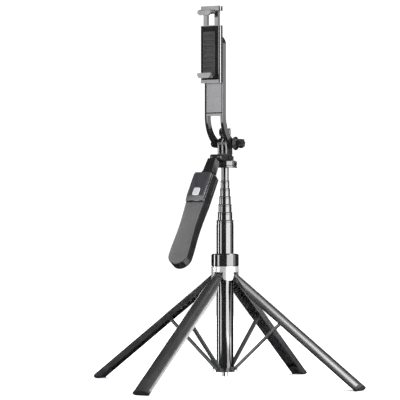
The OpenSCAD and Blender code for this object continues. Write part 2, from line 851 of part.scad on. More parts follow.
// Handle frame: hinge pin at the origin, leaning forward as it stands
module in_handle() {
    translate([0, knuckle_y, knuckle_z]) rotate([-handle_lean, 0, 0]) children();
}

// Half width of the grip at a distance from the hinge: waisted, then swelling to a round end
function grip_half(s) =
    let (
        t = (s - pad_end) / (handle_len - grip_end_w / 2 - pad_end),
        waist = (handle_w - grip_waist_w) / 2,
        swell = (grip_end_w - handle_w) / 2
    )
    handle_w / 2 + swell * t * t - waist * sin(180 * min(1, t * 1.15)) * 1.1;

// Front view of the handle with an inset: neck, shoulders, waisted grip and round end
module handle_outline(inset = 0) {
    steps = 16;
    arc_steps = 20;
    end_r = grip_end_w / 2 - inset;
    round_at = handle_len - grip_end_w / 2;
    side = concat(
        [[neck_top_w / 2 - inset, -neck_start - inset], [neck_w / 2 - inset, -neck_end + 4]],
        [[neck_w / 2 - inset + 2, -neck_end - inset], [handle_w / 2 - 4 - inset * 0.4, -neck_end - inset]],
        [[handle_w / 2 - inset, -neck_end - 5], [handle_w / 2 - inset, -pad_end + 2]],
        [for (i = [0 : steps - 1])
            let (s = pad_end + (round_at - pad_end) * i / steps) [grip_half(s) - inset, -s]],
        [for (i = [0 : arc_steps - 1])
            let (a = 90 * i / arc_steps) [end_r * cos(a), -round_at - end_r * sin(a)]]
    );
    mirrored = [for (i = [len(side) - 1 : -1 : 0]) [-side[i][0], side[i][1]]];
    polygon(concat(side, [[0, -round_at - end_r]], mirrored));
}

module handle_front() {
    color("#6a6a6d") in_handle() difference() {
        along_y(handle_split_y, handle_face_y) handle_outline();
        // Room for the hinge lug
        box([-3.2, -4.2, -10.2], [3.2, 1, 4]);
        // The neck is thinner than the grip
        box([-20, handle_face_y - over, -pad_start - over], [20, neck_face_y, over]);
        // The grip grows thinner towards its end
        along_x(-20, 20) polygon([
            [handle_face_y, -pad_end], [handle_end_y, -handle_len - over],
            [handle_face_y - over, -handle_len - over], [handle_face_y - over, -pad_end]
        ]);
        // Pocket for the remote
        box([-20, handle_face_y - 2 * over, -pad_end], [20, remote_back_y + remote_gap, -pad_start]);
        // Hollow behind the grip face
        along_y(handle_split_y + over, handle_end_y + 1.8) difference() {
            handle_outline(1.8);
            translate([-20, -pad_end - 2]) square([40, 90]);
        }
    }
}

module handle_back() {
    color("#101011") in_handle() difference() {
        union() {
            along_y(handle_back_y, handle_split_y) handle_outline();
            // Hinge lug on the knuckle pin
            rod_x(4, 6);
            box([-3, -4, -10], [3, 2.8, 0]);
        }
        rod_x(knuckle_pin_r + run_gap, 20);
        along_y(handle_back_y - 1.6, handle_split_y - over) difference() {
            handle_outline(1.8);
            translate([-20, -38]) square([40, 60]);
        }
        // Wells of the two screws
        for (s = SCREWS_AT)
            translate([0, handle_back_y + over, -s]) rotate([90, 0, 0]) cylinder(h = 1.8, r = 2.6);
    }
}

module handle_screws() {
    color("#8f9296") in_handle() for (s = SCREWS_AT)
        translate([0, handle_back_y, -s]) rotate([90, 0, 0]) difference() {
            cylinder(h = 0.8, r = 2.4);
            translate([0, 0, -over]) cylinder(h = over + 0.4, r = 1, $fn = 6);
        }
}

// Front view of the remote, with an inset
module remote_outline(inset = 0) {
    top = -pad_start - remote_gap - inset;
    bottom = -pad_end + remote_gap + inset;
    half = handle_w / 2 - remote_gap - inset;
    cut = 1.5;
    polygon([
        [half - cut, top], [half, top - cut], [half, bottom],
        [-half, bottom], [-half, top - cut], [-half + cut, top]
    ]);
}

// Side view of the remote, with an inset: its face slopes down at the lower end
module remote_side(inset = 0) {
    bottom = -pad_end + remote_gap + inset;
    polygon([
        [remote_back_y - inset, 0], [remote_face_y + inset, 0], [remote_face_y + inset, -remote_slope_at + inset],
        [remote_low_y + inset, bottom], [remote_back_y - inset, bottom]
    ]);
}

module remote_case() {
    edge = handle_w / 2 - remote_gap - remote_chamfer;
    color("#222226") in_handle() difference() {
        intersection() {
            along_y(remote_back_y, remote_face_y - over) remote_outline();
            along_x(-20, 20) remote_side();
        }
        intersection() {
            along_y(remote_back_y - over, remote_face_y) remote_outline(remote_wall);
            along_x(-20, 20) remote_side(remote_wall);
        }
        // Long edges of the face, cut off at 45 degrees
        for (side = [-1, 1]) translate([side * edge, remote_face_y, -90]) rotate([0, 0, side * 45])
            box([side > 0 ? 0 : -10, -10, 0], [side > 0 ? 10 : 0, 0, 80]);
        // Trapezoid thumb recess
        along_y(remote_face_y + 0.9, remote_face_y - over)
            polygon([[-9.6, -36.6], [9.6, -36.6], [5, -55.5], [-5, -55.5]]);
        // Window of the button
        along_y(remote_face_y + 3, remote_face_y - over) translate([0, -button_at])
            round_rect(button_w + 0.4, button_h + 0.4, 2.2);
    }
}

module remote_button() {
    color("#dfe0e2") in_handle() along_y(remote_face_y + remote_wall + 0.1, remote_face_y - 0.9)
        translate([0, -button_at]) round_rect(button_w, button_h, 2);
}

module remote_board() {
    color("#1f6b3a") in_handle()
        box([-11.5, -6.6, -75.1], [11.5, -5.8, -39]);
}

module remote_cell() {
    color("#c9ccd0") in_handle() translate([0, -4.1, -60]) rotate([90, 0, 0]) cylinder(h = 1.6, r = 10);
}

center_tube();
tube_mouth_ring();
bottom_hub();
hub_bolt();
collar_cap();
leg_yoke();
leg_pins();
collar_bush();
leg_front();
foot_front();
strut_pin_front();
strut_front();
leg_right();
foot_right();
strut_pin_right();
strut_right();
leg_back();
foot_back();
strut_pin_back();
strut_back();
leg_left();
foot_left();
strut_pin_left();
strut_left();
tube_stage_2();
tube_stage_3();
tube_stage_4();
tube_stage_5();
tube_stage_6();
tube_stage_7();
slide_bush_2();
slide_bush_3();
slide_bush_4();
slide_bush_5();
slide_bush_6();
slide_bush_7();
head_cup();
head_base();
hinge_bolt();
hinge_nut();
knuckle_pin();
hinge_knob();
mount_body();
thumb_ring();
camera_screw();
fork_arm();
swivel_rivet();
clamp_body();
clamp_rails();
clamp_spring();
lower_pad();
upper_jaw();
upper_pad();
handle_front();
handle_back();
handle_screws();
remote_case();
remote_button();
remote_board();
remote_cell();
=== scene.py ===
"""Looks of a telescopic selfie stick that opens into a four-legged stand.

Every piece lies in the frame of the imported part: the mast stands on +Z, the head's hinge lies along X, and
the handle and the phone side face -Y. Shapes are drawn in millimetres and scaled to metres as they are made.
"""

import json
import math

import bmesh
import bpy
from mathutils import Matrix, Vector


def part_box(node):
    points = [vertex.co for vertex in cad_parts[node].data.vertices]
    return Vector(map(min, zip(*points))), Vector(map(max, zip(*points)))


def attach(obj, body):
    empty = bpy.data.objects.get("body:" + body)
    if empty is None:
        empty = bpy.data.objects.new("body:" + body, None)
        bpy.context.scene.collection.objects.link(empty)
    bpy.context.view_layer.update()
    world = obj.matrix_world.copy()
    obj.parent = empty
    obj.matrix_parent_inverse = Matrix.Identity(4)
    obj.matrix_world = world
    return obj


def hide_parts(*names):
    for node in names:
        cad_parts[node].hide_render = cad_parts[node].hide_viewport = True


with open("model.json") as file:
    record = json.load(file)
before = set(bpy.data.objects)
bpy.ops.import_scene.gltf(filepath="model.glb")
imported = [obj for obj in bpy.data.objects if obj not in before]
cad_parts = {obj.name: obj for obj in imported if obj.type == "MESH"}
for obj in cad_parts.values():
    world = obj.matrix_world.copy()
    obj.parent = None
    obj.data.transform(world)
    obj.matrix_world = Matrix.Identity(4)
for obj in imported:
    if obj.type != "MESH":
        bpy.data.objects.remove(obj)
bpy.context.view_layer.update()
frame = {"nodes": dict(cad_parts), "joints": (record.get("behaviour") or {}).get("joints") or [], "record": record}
MM = 0.001
BODY_OF = {node: body for body, nodes in frame["record"]["behaviour"]["bodies"].items() for node in nodes}


# Frames of the moving parts ------------------------------------------------


def place(x=0.0, y=0.0, z=0.0):
    return Matrix.Translation((x, y, z))


def turn(degrees, axis):
    return Matrix.Rotation(math.radians(degrees), 4, axis)


def joint(name):
    return next(j for j in frame["joints"] if j["name"] == name)


AZIMUTHS = {"front": -90, "right": 0, "back": 90, "left": 180}
LEG_PIVOT = Vector(joint("leg_right_fold")["pos_m"])
STRUT_PIN = Vector(joint("strut_right_fold")["pos_m"])
OPEN = math.degrees(math.atan2(STRUT_PIN.x - LEG_PIVOT.x, LEG_PIVOT.z - STRUT_PIN.z))
HUB_SEAT = Vector((0.0134, 0, 0.020))
STRUT_LEAN = math.degrees(math.atan2(STRUT_PIN.x - HUB_SEAT.x, STRUT_PIN.z - HUB_SEAT.z))
HINGE = Vector(joint("arm_tilt")["pos_m"])
HANDLE_PIN = Vector(joint("handle_swing")["pos_m"])
RELEASE = joint("remote_release")["axis"]
HANDLE_LEAN = math.degrees(math.atan2(RELEASE[2], -RELEASE[1]))

WORLD = Matrix.Identity(4)
ARM = place(*HINGE)
HANDLE = place(*HANDLE_PIN) @ turn(-HANDLE_LEAN, "X")


def leg_frame(azimuth):
    """Hinge pin at the origin, the leg along -Z, its outside towards +X."""
    return turn(azimuth, "Z") @ place(*LEG_PIVOT) @ turn(-OPEN, "Y")


def strut_frame(azimuth):
    """Lower seat at the origin, the strut along +Z."""
    return turn(azimuth, "Z") @ place(*HUB_SEAT) @ turn(STRUT_LEAN, "Y")


# Mesh kit --------------------------------------------------------------------


def smooth(mesh, angle=32):
    for polygon in mesh.polygons:
        polygon.use_smooth = True
    mesh.set_sharp_from_angle(angle=math.radians(angle))


def add_piece(name, mesh, at, body, material, slot, nodes=()):
    """Links a mesh built in the local frame `at`, parents it to the body it rides on, and hides the nodes it
    stands for.
    """
    obj = bpy.data.objects.new(name, mesh)
    bpy.context.scene.collection.objects.link(obj)
    obj.matrix_world = at
    obj.data.materials.clear()
    obj.data.materials.append(material)
    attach(obj, body)
    if nodes:
        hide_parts(*nodes)
    return obj


def bevel(obj, width, segments=3, angle=28):
    """Rounds the sharp edges of a piece."""
    mod = obj.modifiers.new("edges", "BEVEL")
    mod.width = width * MM
    mod.segments = segments
    mod.limit_method = "ANGLE"
    mod.angle_limit = math.radians(angle)
    mod.harden_normals = True
    mod.use_clamp_overlap = True
    return obj


def skin(name, loops, ring=False):
    """Joins closed loops of points, in millimetres, into one closed surface.

    The first and last loops are capped, or joined to each other in a ring."""
    bm = bmesh.new()
    rows = [[bm.verts.new([c * MM for c in point]) for point in loop] for loop in loops]
    for k in range(len(rows) if ring else len(rows) - 1):
        low = rows[k]
        high = rows[(k + 1) % len(rows)]
        for i in range(len(low)):
            j = (i + 1) % len(low)
            bm.faces.new((low[i], low[j], high[j], high[i]))
    if not ring:
        bm.faces.new(rows[0][::-1])
        bm.faces.new(rows[-1])
    bmesh.ops.remove_doubles(bm, verts=bm.verts, dist=1e-6)
    bmesh.ops.recalc_face_normals(bm, faces=bm.faces)
    mesh = bpy.data.meshes.new(name)
    bm.to_mesh(mesh)
    bm.free()
    smooth(mesh)
    return mesh


def circle(radius, z, steps=96):
    angles = [2 * math.pi * i / steps for i in range(steps)]
    return [(radius * math.cos(a), radius * math.sin(a), z) for a in angles]


def lathe(name, profile, steps=96):
    """A closed outline of (radius, height) turned about Z."""
    return skin(name, [circle(r, z, steps) for r, z in profile], ring=True)


def fillet(points, segments=5):
    """Rounds the corners of a closed outline of (x, y, radius)."""
    out = []
    for i, (x, y, radius) in enumerate(points):
        here = Vector((x, y))
        before = Vector(points[i - 1][:2]) - here
        after = Vector(points[(i + 1) % len(points)][:2]) - here
        if radius <= 0:
            out.append((x, y))
            continue
        reach = radius / math.tan(before.angle(after) / 2)
        start = here + before.normalized() * min(reach, before.length * 0.49)
        end = here + after.normalized() * min(reach, after.length * 0.49)
        for k in range(segments + 1):
            t = k / segments
            point = start * (1 - t) ** 2 + here * 2 * t * (1 - t) + end * t * t
            out.append((point.x, point.y))
    return out


def box_mm(node):
    """Lowest and highest corner of a node in millimetres."""
    low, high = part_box(node)
    return Vector(low) / MM, Vector(high) / MM


def clean_bmesh(node, at=WORLD):
    """The CAD node's shape in the frame `at`, cleaned into flat faces that bevel well."""
    mesh = frame["nodes"][node].data.copy()
    mesh.transform(at.inverted())
    bm = bmesh.new()
    bm.from_mesh(mesh)
    bmesh.ops.remove_doubles(bm, verts=bm.verts, dist=2e-6)
    bmesh.ops.dissolve_limit(bm, angle_limit=math.radians(1.2), verts=bm.verts, edges=bm.edges)
    bm.normal_update()
    return bm, mesh


def round_edges(bm, width, segments, chosen, angle=30):
    """Rounds the sharp edges whose two ends and two faces satisfy `chosen`."""
    edges = []
    for edge in bm.edges:
        if len(edge.link_faces) == 2 and edge.calc_face_angle() > math.radians(angle):
            ends = [vert.co / MM for vert in edge.verts]
            if chosen(ends, [face.normal for face in edge.link_faces]):
                edges.append(edge)
    bmesh.ops.bevel(
        bm, geom=edges, offset=width * MM, segments=segments, profile=0.5, affect="EDGES", clamp_overlap=True
    )


def finish_bmesh(bm, mesh, node):
    bm.to_mesh(mesh)
    bm.free()
    mesh.name = node
    smooth(mesh)
    return mesh


def from_node(node, at=WORLD):
    return finish_bmesh(*clean_bmesh(node, at), node)


def stand_in(node, mesh, at=WORLD, slot=None):
    """Adds a finished piece that replaces its CAD node."""
    slot = slot or SLOT_OF[node]
    return add_piece(node + "_piece", mesh, at, BODY_OF[node], M[slot], slot, [node])


def rounded_node(node, at, width, segments=2):
    """A piece with the node's own shape, its edges rounded as moulded or tumbled parts are."""
    obj = stand_in(node, from_node(node, at), at)
    if width:
        bevel(obj, width, segments)
    return obj


# Materials ---------------------------------------------------------------------


def new_material(name):
    material = bpy.data.materials.new(name)
    material.use_nodes = True
    nodes = material.node_tree.nodes
    return material, nodes, material.node_tree.links, nodes["Principled BSDF"]


def object_coordinates(nodes, links, stretch=(1, 1, 1)):
    """Coordinates of the piece itself, so that the pattern moves with it."""
    source = nodes.new("ShaderNodeTexCoord")
    mapping = nodes.new("ShaderNodeMapping")
    mapping.inputs["Scale"].default_value = stretch
    links.new(source.outputs["Object"], mapping.inputs["Vector"])
    return mapping.outputs["Vector"]


def noise(nodes, links, vector, scale, detail=3.0):
    texture = nodes.new("ShaderNodeTexNoise")
    texture.inputs["Scale"].default_value = scale
    texture.inputs["Detail"].default_value = detail
    links.new(vector, texture.inputs["Vector"])
    return texture.outputs["Fac"]


def between(nodes, links, value, low, high):
    """Maps the middle of a noise to the range low to high."""
    node = nodes.new("ShaderNodeMapRange")
    node.inputs["From Min"].default_value = 0.3
    node.inputs["From Max"].default_value = 0.7
    node.inputs["To Min"].default_value = low
    node.inputs["To Max"].default_value = high
    links.new(value, node.inputs["Value"])
    return node.outputs["Result"]


def tint(nodes, links, value, dark, light):
    ramp = nodes.new("ShaderNodeValToRGB")
    ramp.color_ramp.elements[0].position = 0.3
    ramp.color_ramp.elements[1].position = 0.7
    ramp.color_ramp.elements[0].color = (*dark, 1)
    ramp.color_ramp.elements[1].color = (*light, 1)
    links.new(value, ramp.inputs["Fac"])
    return ramp.outputs["Color"]


def surface(
    name, dark, light, rough, grain, height, metallic=0.0, stretch=(1, 1, 1), mottle=60.0, coat=0.0, ior=1.5
):
    """A finish with a slow change of tone, and a fine grain that changes its gloss and relief.

    rough is the range of roughness, grain the grain's scale per metre, height its depth in millimetres,
    and mottle the scale of the change of tone."""
    material, nodes, links, shader = new_material(name)
    shader.inputs["Metallic"].default_value = metallic
    shader.inputs["Coat Weight"].default_value = coat
    shader.inputs["Coat Roughness"].default_value = 0.06
    shader.inputs["IOR"].default_value = ior
    vector = object_coordinates(nodes, links)
    fine = noise(nodes, links, object_coordinates(nodes, links, stretch), grain)
    slow = noise(nodes, links, vector, mottle)
    links.new(tint(nodes, links, slow, dark, light), shader.inputs["Base Color"])
    links.new(between(nodes, links, fine, *rough), shader.inputs["Roughness"])
    bump = nodes.new("ShaderNodeBump")
    bump.inputs["Distance"].default_value = height * MM
    bump.inputs["Strength"].default_value = 1.0
    links.new(fine, bump.inputs["Height"])
    links.new(bump.outputs["Normal"], shader.inputs["Normal"])
    return material


def gray(level):
    return (level, level, level * 1.03)


# Grain drawn out along the piece, and grain turned round it
ALONG = (1, 1, 0.02)
ACROSS = (0.03, 0.03, 1)
M = {
    "black_tube": surface(
        "black_lacquer", gray(0.008), gray(0.012), (0.05, 0.1), 2600, 0.003, 0, ALONG, coat=1.0, ior=2.0
    ),
    "black_gloss": surface(
        "gloss_black", gray(0.008), gray(0.012), (0.06, 0.1), 900, 0.002, coat=1.0, ior=1.8
    ),
    "bright_ring": surface("satin_aluminium", gray(0.55), gray(0.62), (0.22, 0.3), 2200, 0.002, 0.65, ACROSS),
    "steel": surface("plated_steel", gray(0.5), gray(0.6), (0.2, 0.3), 1500, 0.004, 1.0),
    "fin_bright": surface("machined_edge", gray(0.17), gray(0.21), (0.24, 0.34), 2200, 0.003, 0.8),
    "bush_plastic": surface("natural_acetal", (0.5, 0.5, 0.48), (0.6, 0.6, 0.58), (0.35, 0.5), 1400, 0.006),
    "leg_gray": surface("leg_gray", gray(0.02), gray(0.03), (0.2, 0.27), 1400, 0.002, 0.0, ACROSS, ior=2.1),
    # edge_black is the matt black of the clamp's and remote's sides, and it is also painted shade on the arm's
    # edges and under the clamp's lip
    "edge_black": surface("matt_black", gray(0.006), gray(0.009), (0.5, 0.6), 1500, 0.004, ior=1.15),
    "rubber": surface("rubber", gray(0.01), gray(0.016), (0.42, 0.6), 1500, 0.03),
    "strut_dark": surface("pressed_steel", gray(0.06), gray(0.08), (0.22, 0.34), 1800, 0.006, 0.5),
    "head_black": surface("moulded_black", gray(0.01), gray(0.014), (0.12, 0.2), 1800, 0.004, ior=1.45),
    "knob_black": surface("knob_black", gray(0.007), gray(0.01), (0.22, 0.32), 1500, 0.006, ior=1.28),
    "thumb_metal": surface("dark_knurled_metal", gray(0.08), gray(0.12), (0.24, 0.36), 1800, 0.006, 0.9),
    "arm_gray": surface("arm_gray", gray(0.095), gray(0.11), (0.15, 0.22), 2200, 0.002, 0.92),
    "clamp_gray": surface("clamp_gray", gray(0.095), gray(0.115), (0.15, 0.22), 2200, 0.002, 0.92),
    "handle_gray": surface("handle_gray", gray(0.06), gray(0.072), (0.36, 0.46), 2400, 0.015),
    "handle_black": surface("handle_black", gray(0.008), gray(0.012), (0.16, 0.24), 1800, 0.006),
    "remote_black": surface(
        "remote_black", (0.026, 0.026, 0.029), (0.034, 0.034, 0.038), (0.16, 0.24), 1500, 0.004
    ),
    "button_silver": surface("button_silver", gray(0.4), gray(0.48), (0.24, 0.34), 1800, 0.004, 0.3),
    "board_green": surface("board_green", (0.01, 0.09, 0.035), (0.015, 0.13, 0.05), (0.3, 0.45), 1200, 0.01),
}

SLOT_OF = {part["node"]: part["material_slot"] for part in frame["record"]["subparts"]}

# Mast ----------------------------------------------------------------------------

STAGES = ["tube_stage_%d" % k for k in range(2, 8)]
TUBES = ["center_tube"] + STAGES
FIXED_WALL = 0.7
STAGE_WALL = 0.5
# Gap between a tube and the mouth outside it, and height of that mouth's lip
TUBE_GAP = 0.06
LIP_H = 1.1


def add_tubes():
    """Lacquered tubes with a rolled bead that stops the next stage, and a dark lip in each mouth."""
    for k, node in enumerate(TUBES):
        low, high = box_mm(node)
        radius = high.x
        bore = radius - (FIXED_WALL if k == 0 else STAGE_WALL)
        last = k == len(TUBES) - 1
        inner = bore if last else box_mm(TUBES[k + 1])[1].x + TUBE_GAP
        mouth = inner if k > 0 else bore
        top = high.z if last else high.z - LIP_H
        outline = fillet([
            (bore, low.z, 0.15), (radius, low.z, 0.25), (radius, top - 2.4, 0.4),
            (radius - 0.2, top - 2.0, 0.3), (radius - 0.2, top - 1.4, 0.3), (radius, top - 1.0, 0.4),
            (radius, top, 0.15), (mouth, top, 0.1), (mouth, top - 2.0, 0), (bore, top - 2.4, 0)
        ])
        stand_in(node, lathe(node, outline))
        if not last:
            ring = fillet([
                (inner, top - 0.3, 0), (radius - 0.1, top - 0.3, 0), (radius - 0.1, top, 0.05),
                (radius + 0.02, top + 0.1, 0.1), (radius - 0.05, high.z, 0.5), (inner, high.z, 0.15)
            ])
            lip = lathe("lip", ring)
            add_piece("stage_lip_%d" % (k + 1), lip, WORLD, BODY_OF[node], M["rubber"], "rubber")


def add_mouth_ring():
    """Ring pressed into the fixed tube's mouth."""
    low, high = box_mm("tube_mouth_ring")
    inner = box_mm(STAGES[0])[1].x + TUBE_GAP
    outline = fillet([
        (inner, low.z, 0.1), (high.x, low.z, 0.1), (high.x, high.z, 0.35), (inner, high.z, 0.3)
    ])
    stand_in("tube_mouth_ring", lathe("tube_mouth_ring", outline))


# Collar --------------------------------------------------------------------------

# Half angles of the yoke's notches, at its outer and inner face, and their height
NOTCH_EDGE_OUT = 21.3
NOTCH_EDGE_IN = 31.9
NOTCH_H = 10.6
# Half angle of a lobe's flat end, and how far its corners rise
LOBE_FLAT = 9.0
LOBE_RISE = 4.6


def add_collar_cap():
    """Gloss black cap with a dished top and a groove above the yoke."""
    low, high = box_mm("collar_cap")
    inner = box_mm("collar_bush")[1].x
    outline = fillet([
        (inner, low.z, 0), (high.x - 0.5, low.z, 0.2), (high.x - 0.5, low.z + 0.5, 0.1),
        (high.x, low.z + 0.7, 0.2), (high.x, high.z - 1.6, 0.6), (high.x - 1.5, high.z, 0.8),
        (inner + 1.6, high.z, 0.4), (inner + 1.2, high.z - 0.7, 0.3), (inner, high.z - 0.7, 0.2)
    ])
    stand_in("collar_cap", lathe("collar_cap", outline, 128))


def lobe_bottom(angle, low, notch_top):
    """Height of the yoke's lower edge: rounded lobes between the notches of the four legs."""
    offset = abs((angle % 90) - 45)
    half = 45 - NOTCH_EDGE_OUT
    if offset > half:
        return notch_top
    if offset < LOBE_FLAT:
        return low
    t = (offset - LOBE_FLAT) / (half - LOBE_FLAT)
    return low + LOBE_RISE * (1 - math.sqrt(1 - min(0.999, t) ** 2))


def add_leg_yoke():
    """Bright yoke: a ring cut by four notches, with a rounded lobe between each pair of legs."""
    low, high = box_mm("leg_yoke")
    outer = high.x
    inner = box_mm("collar_bush")[1].x
    notch_top = low.z + NOTCH_H
    columns = []
    for quarter in range(4):
        base = 90 * quarter
        for i in range(9):
            t = i / 4 - 1
            columns.append((base + NOTCH_EDGE_OUT * t, base + NOTCH_EDGE_IN * t, True))
        for i in range(25):
            t = i / 24
            columns.append((
                base + NOTCH_EDGE_OUT + (90 - 2 * NOTCH_EDGE_OUT) * t,
                base + NOTCH_EDGE_IN + (90 - 2 * NOTCH_EDGE_IN) * t, False
            ))
    loops = []
    edge = 0.35
    for out_angle, in_angle, notch in columns:
        bottom = notch_top if notch else lobe_bottom(out_angle, low.z, notch_top)
        a = math.radians(out_angle)
        b = math.radians(in_angle)
        section = [
            (inner, b, bottom), (inner, b, high.z), (outer - edge, a, high.z), (outer, a, high.z - edge),
            (outer, a, bottom + edge), (outer - edge, a, bottom)
        ]
        loops.append([(r * math.cos(t), r * math.sin(t), z) for r, t, z in section])
    stand_in("leg_yoke", skin("leg_yoke", loops, ring=True))


# Legs ----------------------------------------------------------------------------

PIVOT_R = LEG_PIVOT.x / MM
# A leg's shell is a quarter of a round bundle: its radius, wall, inner edge and half angle
SHELL_R = 18.5
SHELL_WALL = 1.3
SHELL_INNER = 12.0
SHELL_HALF = 44.4
SIDE_MID_R = 14.0
# Distances from the hinge to the end of the tongue, the shoulders, the end of the shell and the strut's pin
TONGUE_END = 8.0
SHOULDER_AT = 36.0
SHELL_END = 227.5
PIN_AT = (LEG_PIVOT - STRUT_PIN).length / MM
# Half width of the tongue at the hinge
TONGUE = 6.2
# The lattice's inner and outer radius, first crossing, spacing and slope
LATTICE_R = (15.4, 17.5)
LATTICE_FROM = 17.0
LATTICE_STEP = 9.0
LATTICE_SLOPE = 0.62


def leg_half_angle(s):
    """Half of the shell's arc: a narrow tongue at the hinge that widens into shoulders."""
    t = min(1.0, max(0.0, (s - TONGUE_END) / (SHOULDER_AT - TONGUE_END)))
    width = TONGUE + (SHELL_R * math.sin(math.radians(SHELL_HALF)) - TONGUE) * t ** 0.9
    return math.degrees(math.asin(width / SHELL_R))


def polar(radius, degrees, z):
    """A point of the leg's frame at a radius about the axis of the folded bundle."""
    a = math.radians(degrees)
    return (radius * math.cos(a) - PIVOT_R, radius * math.sin(a), z)


def leg_section(s):
    """Closed cross-section of the shell: outer arc, two radial walls, inner arc."""
    half = leg_half_angle(s)
    wall = math.degrees(SHELL_WALL / SIDE_MID_R)
    steps = 22
    shares = [2 * i / steps - 1 for i in range(steps + 1)]
    outer = [polar(SHELL_R, half * t, -s) for t in shares]
    inner = [polar(SHELL_R - SHELL_WALL, (wall - half) * t, -s) for t in shares]
    edge = [(SHELL_INNER + 0.2, half), (SHELL_INNER, half - 0.2 * wall), (SHELL_INNER, half - wall)]
    right = [polar(radius, angle, -s) for radius, angle in edge]
    left = [polar(radius, -angle, -s) for radius, angle in reversed(edge)]
    return outer + right + inner + left


def add_solid(bm, loops):
    """Adds one closed solid, given as loops of points, to a mesh."""
    rows = [[bm.verts.new([c * MM for c in point]) for point in loop] for loop in loops]
    for low, high in zip(rows, rows[1:]):
        for i in range(len(low)):
            j = (i + 1) % len(low)
            bm.faces.new((low[i], low[j], high[j], high[i]))
    bm.faces.new(rows[0][::-1])
    bm.faces.new(rows[-1])


def add_lattice(bm):
    """Diamond lattice inside the shell, from the shoulders to the strut pin."""
    r_in, r_out = LATTICE_R
    for cell in range(8):
        middle = LATTICE_FROM + LATTICE_STEP * cell
        for slope in (-LATTICE_SLOPE, LATTICE_SLOPE):
            loops = []
            for i in range(17):
                angle = 38.0 * (i / 8 - 1)
                s = middle + slope * math.radians(angle) * 16.5
                if s < 9 or abs(angle) > leg_half_angle(s) - 4 or s > PIN_AT - 5:
                    continue
                loops.append([
                    polar(r_in, angle, 0.5 - s), polar(r_out, angle, 0.6 - s), polar(r_out, angle, -0.6 - s),
                    polar(r_in, angle, -0.5 - s)
                ])
            if len(loops) > 2:
                add_solid(bm, loops)


def leg_mesh():
    """Shell, lattice, long ribs, the strut pin's lugs, and the knuckle at the hinge with its web."""
    bm = bmesh.new()
    stations = [-2.0, -1.6, 0.0, 4.0, TONGUE_END]
    stations += [TONGUE_END + (SHOULDER_AT - TONGUE_END) * i / 14 for i in range(1, 15)]
    stations += [SHOULDER_AT + (SHELL_END - SHOULDER_AT) * i / 24 for i in range(1, 25)]
    add_solid(bm, [leg_section(s) for s in stations])
    add_lattice(bm)
    for side in (-1, 1):
        ribs = ((15.7, 16.7), (15.7, 18.3), (17.5, 18.3), (17.5, 16.7))
        rib_at = (PIN_AT + 6, PIN_AT + 60, SHELL_END - 13.5)
        add_solid(bm, [[polar(r, side * 1.15 * a, -s) for r, a in ribs] for s in rib_at])
        lug = []
        for i in range(14):
            a = 2 * math.pi * i / 14 - math.pi / 2
            x = 2.2 * math.cos(a) - 0.2
            lug.append((x if x < 0.4 else 2.6, 3.0 * math.sin(a) - PIN_AT))
        add_solid(bm, [[(x, y, z) for x, z in lug] for y in (side * 2.9, side * 5.1)])
    knuckle = [(x, y) for x, y, z in circle(2.5, 0, 28)]
    half = TONGUE - 0.05
    knuckle_at = (-half, 1.45 - half, half - 1.45, half)
    add_solid(bm, [[(x, y, z) for x, z in knuckle] for y in knuckle_at])
    web = [(-2.3, 0.0), (3.4, 1.6), (3.4, -12.0), (-1.2, -12.0)]
    add_solid(bm, [[(x, y, z) for x, z in web] for y in (-3.9, 3.9)])
    bmesh.ops.recalc_face_normals(bm, faces=bm.faces)
    mesh = bpy.data.meshes.new("leg")
    bm.to_mesh(mesh)
    bm.free()
    smooth(mesh)
    return mesh


def add_legs():
    """The same leg four times, on its own hinge each time."""
    mesh = leg_mesh()
    for side, azimuth in AZIMUTHS.items():
        obj = stand_in("leg_" + side, mesh.copy(), leg_frame(azimuth))
        bevel(obj, 0.3, 3)


# Head ----------------------------------------------------------------------------


def add_head_cup():
    """Cup under the head, with a collar round its lower edge."""
    low, high = box_mm("head_cup")
    bore = box_mm(STAGES[-1])[1].x + 0.05
    outer = high.x
    seat = low.z + 8.2
    outline = fillet([
        (bore, low.z, 0.2), (outer - 0.7, low.z, 0.4), (outer, low.z + 0.7, 0.4), (outer, low.z + 2.2, 0.4),
        (outer - 0.9, low.z + 2.7, 0.2), (outer - 0.9, low.z + 3.2, 0.2), (outer - 0.4, low.z + 3.7, 0.4),
        (outer - 0.5, high.z - 0.9, 0.5), (outer - 1.4, high.z, 0.5), (0, high.z, 0), (0, seat, 0),
        (bore, seat, 0.2)
    ])
    stand_in("head_cup", lathe("head_cup", outline, 128))


def add_hinge_nut():
    """Domed nut on the left end of the hinge bolt, with a turned flange."""
    low, high = box_mm("hinge_nut")
    centre = Vector((high.x, (low.y + high.y) / 2, (low.z + high.z) / 2)) * MM
    outline = fillet([
        (0, 0, 0), (5.2, 0, 0.3), (5.2, 1.3, 0.3), (4.5, 1.6, 0.2), (4.4, 3.6, 1.2), (3.0, 5.0, 1.0),
        (0, 5.0, 0)
    ])
    stand_in("hinge_nut", lathe("hinge_nut", outline, 64), place(*centre) @ turn(-90, "Y"))


def lobed(name, stations, lobes, steps, foot=0.0):
    """A turned ring of (height, radius, depth of the lobes round it)."""
    loops = []
    for z, radius, depth in stations:
        loop = []
        for i in range(steps):
            a = 2 * math.pi * i / steps
            r = radius + depth * math.cos(lobes * a)
            loop.append((r * math.cos(a), r * math.sin(a), z + foot))
        loops.append(loop)
    return skin(name, loops, ring=True)


